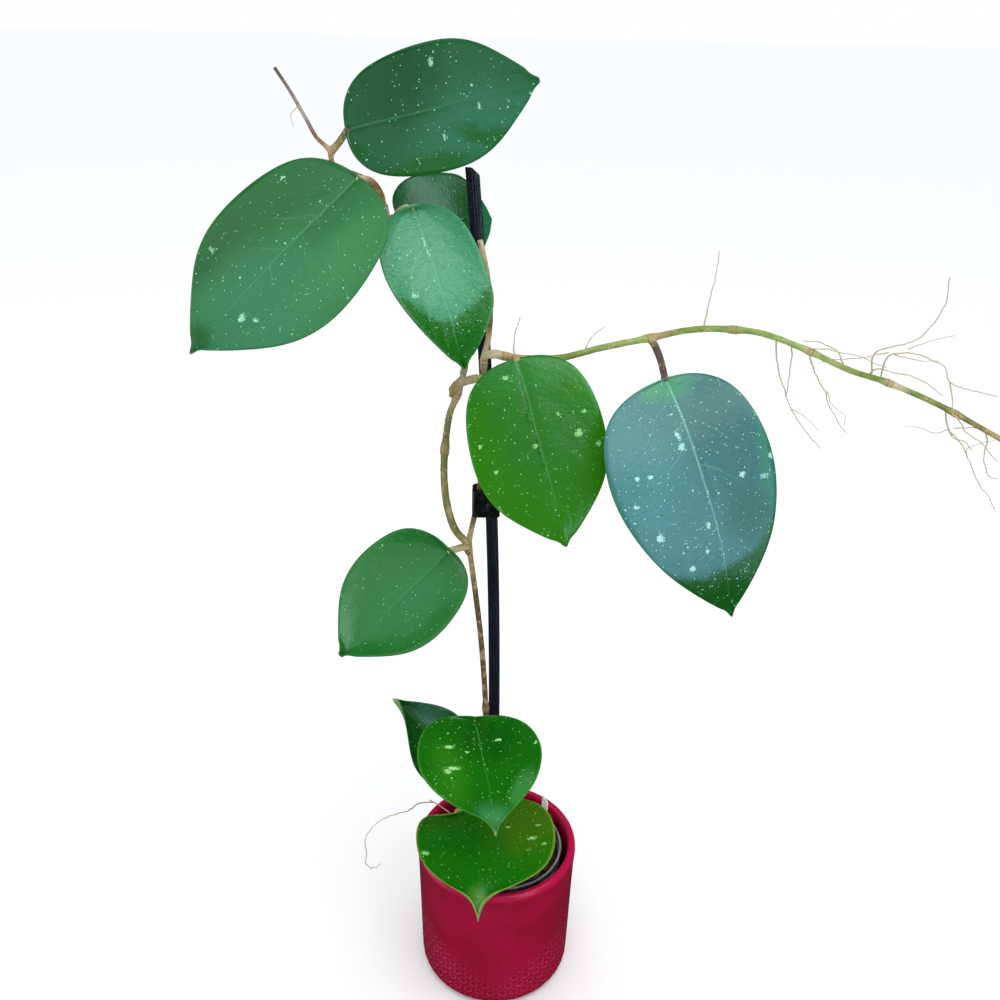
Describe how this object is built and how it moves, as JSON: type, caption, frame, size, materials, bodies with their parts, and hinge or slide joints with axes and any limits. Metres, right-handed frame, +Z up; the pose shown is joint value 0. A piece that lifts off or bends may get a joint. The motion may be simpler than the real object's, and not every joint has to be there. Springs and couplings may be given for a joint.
{
  "type": "potted climbing hoya",
  "caption": "Broad-leaved climbing houseplant trained up a plastic stake, in a nursery pot of bark mix inside a dimpled crimson cover pot",
  "frame": {"origin": "centre of the cover pot's foot, on the surface it stands on", "axes": "+Z up along the pot, +X to the right where the runner reaches out, -Y to the front where the leaves face"},
  "size_m": [0.4886, 0.1598, 0.6678],
  "materials": {
    "crimson_glaze": "satin-gloss crimson glaze with small ring-shaped dimples",
    "nursery_plastic": "thin clear grey plastic with a rolled rim",
    "bark_mix": "damp dark bark chips",
    "stake_plastic": "blue-black moulded plastic with a lengthwise groove",
    "clip_rubber": "glossy black soft plastic",
    "label_plastic": "blank white plastic strip",
    "brown_stem": "brown woody bark with pale specks",
    "olive_stem": "olive bark with brown rings at the joints",
    "green_stem": "olive-green skin with tan patches and pale roots",
    "pale_root": "dry tan stub with pale pinkish roots",
    "leaf_blade": "thick glossy green blade with pale flecks and faint veins"
  },
  "bodies": {
    "root": {"cover_pot": "crimson_glaze", "nursery_pot": "nursery_plastic", "potting_mix": "bark_mix", "plant_stake": "stake_plastic", "stem_clip": "clip_rubber", "plant_label": "label_plastic", "main_stem": "brown_stem", "climbing_shoot": "olive_stem", "runner": "green_stem", "cut_stem": "pale_root", "leaf_top": "leaf_blade", "leaf_upper_left": "leaf_blade", "leaf_behind_stake": "leaf_blade", "leaf_upper_front": "leaf_blade", "leaf_centre": "leaf_blade", "leaf_right": "leaf_blade", "leaf_mid_left": "leaf_blade", "leaf_low_back": "leaf_blade", "leaf_low_front": "leaf_blade", "leaf_over_rim": "leaf_blade"}
  },
  "joints": []
}
